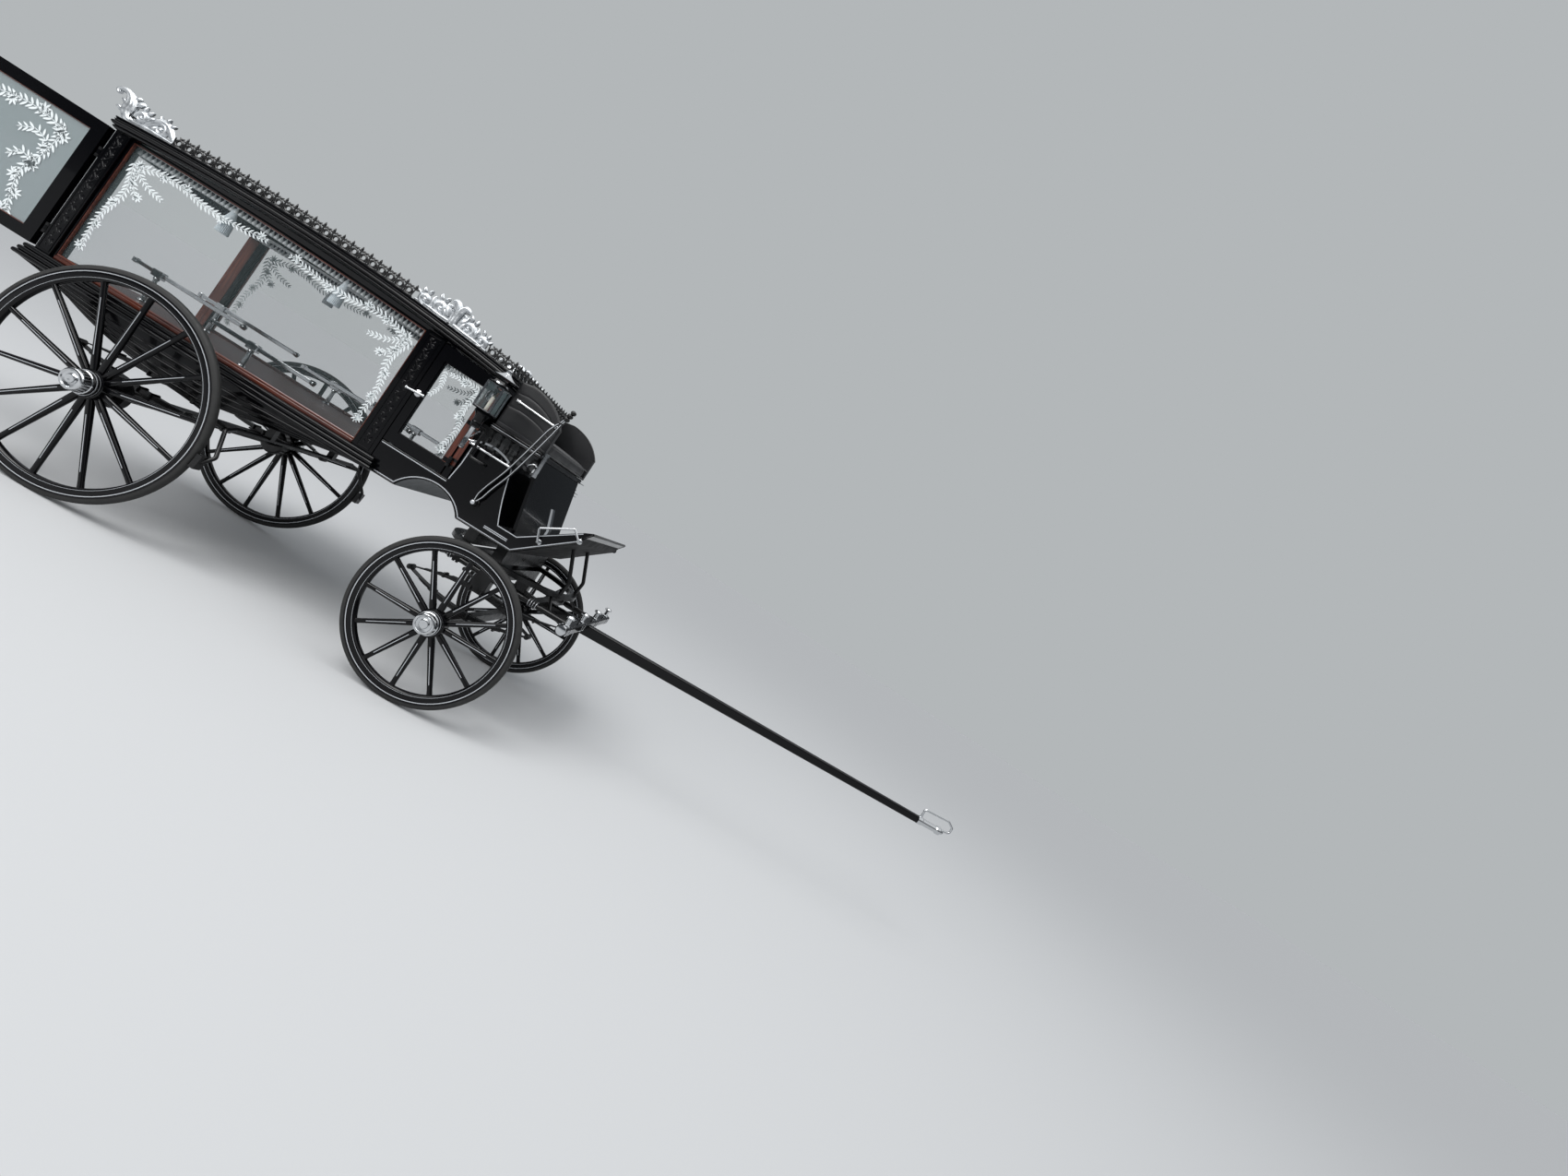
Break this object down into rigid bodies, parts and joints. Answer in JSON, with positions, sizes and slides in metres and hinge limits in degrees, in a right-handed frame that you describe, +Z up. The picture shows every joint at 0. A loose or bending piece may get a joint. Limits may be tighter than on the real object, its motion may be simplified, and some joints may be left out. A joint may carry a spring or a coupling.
{
  "type": "horse-drawn hearse",
  "caption": "Glass-sided horse-drawn hearse: crowned roof with cresting, spoked wheels, driver's box with lamps, turning fore-carriage with pole, opening rear and quarter doors.",
  "frame": {"origin": "middle of the overall length and width, on the ground under the wheels", "axes": "+X forward towards the pole, +Y left, +Z up"},
  "size_m": [7.767, 1.738, 2.1519],
  "materials": {
    "black_gloss": "gloss black coach paint",
    "black_wood": "gloss black coach paint on timber",
    "iron_black": "black painted iron",
    "bright": "polished nickel plate",
    "rubber": "solid rubber",
    "glass": "clear bevelled and etched glass",
    "leather": "black leather",
    "mahogany": "varnished mahogany",
    "velvet": "dark velvet with silver fringe",
    "tassel": "pale silver-blue silk",
    "silver_carving": "silvered carved wood"
  },
  "bodies": {
    "body": {"rear_axle": "iron_black", "rear_springs": "iron_black", "brake_gear": "iron_black", "belly": "black_wood", "sill": "black_wood", "deck_floor": "mahogany", "body_posts": "black_wood", "window_beads": "mahogany", "side_glass": "glass", "quarter_base": "black_wood", "boot_body": "black_wood", "bulkhead": "black_wood", "cornice": "black_wood", "roof_board": "black_wood", "cresting": "iron_black", "roof_scrolls": "silver_carving", "pelmet": "velvet", "tassels": "tassel", "deck_rails": "bright", "seat_frame": "black_wood", "seat_cushion": "leather", "seat_wings": "leather", "bright_fittings": "bright", "lamp_bodies": "black_gloss", "lamp_glasses": "glass", "lamp_irons": "iron_black", "brake_lever": "bright", "body_bearers": "iron_black", "door_hinges": "bright"},
    "forecarriage": {"fore_frame": "iron_black", "front_springs": "iron_black", "front_axle": "iron_black", "splinter_bar": "black_wood", "roller_bolts": "bright", "pole": "black_wood", "pole_head": "bright"},
    "rear_wheel_body_right": {"rear_tyre_right": "rubber", "rear_wheel_right": "black_wood", "rear_hub_cap_right": "bright"},
    "rear_wheel_body_left": {"rear_tyre_left": "rubber", "rear_wheel_left": "black_wood", "rear_hub_cap_left": "bright"},
    "front_wheel_body_right": {"front_tyre_right": "rubber", "front_wheel_right": "black_wood", "front_hub_cap_right": "bright"},
    "front_wheel_body_left": {"front_tyre_left": "rubber", "front_wheel_left": "black_wood", "front_hub_cap_left": "bright"},
    "rear_door_body": {"rear_door": "black_wood", "rear_door_glass": "glass"},
    "quarter_door_body_right": {"quarter_door_right": "black_wood", "quarter_glass_right": "glass", "quarter_handle_right": "bright"},
    "quarter_door_body_left": {"quarter_door_left": "black_wood", "quarter_glass_left": "glass", "quarter_handle_left": "bright"}
  },
  "joints": [
    {"name": "steer", "type": "hinge", "parent": "body", "child": "forecarriage", "pos_m": [0.2455, 0, 0.913], "axis": [0, 0, 1], "range_deg": [-40, 40]},
    {"name": "rear_wheel_spin_right", "type": "hinge", "parent": "body", "child": "rear_wheel_body_right", "pos_m": [-1.9465, -0.745, 0.65], "axis": [0, 1, 0], "continuous": true},
    {"name": "rear_wheel_spin_left", "type": "hinge", "parent": "body", "child": "rear_wheel_body_left", "pos_m": [-1.9465, 0.745, 0.65], "axis": [0, 1, 0], "continuous": true},
    {"name": "front_wheel_spin_right", "type": "hinge", "parent": "forecarriage", "child": "front_wheel_body_right", "pos_m": [0.2455, -0.745, 0.4975], "axis": [0, 1, 0], "continuous": true},
    {"name": "front_wheel_spin_left", "type": "hinge", "parent": "forecarriage", "child": "front_wheel_body_left", "pos_m": [0.2455, 0.745, 0.4975], "axis": [0, 1, 0], "continuous": true},
    {"name": "rear_door_swing", "type": "hinge", "parent": "body", "child": "rear_door_body", "pos_m": [-2.8085, -0.545, 1.49], "axis": [0, 0, 1], "range_deg": [-90, 20]},
    {"name": "quarter_door_swing_right", "type": "hinge", "parent": "body", "child": "quarter_door_body_right", "pos_m": [-0.2465, -0.574, 1.55], "axis": [0, 0, 1], "range_deg": [0, 85]},
    {"name": "quarter_door_swing_left", "type": "hinge", "parent": "body", "child": "quarter_door_body_left", "pos_m": [-0.2465, 0.574, 1.55], "axis": [0, 0, 1], "range_deg": [-85, 0]}
  ]
}
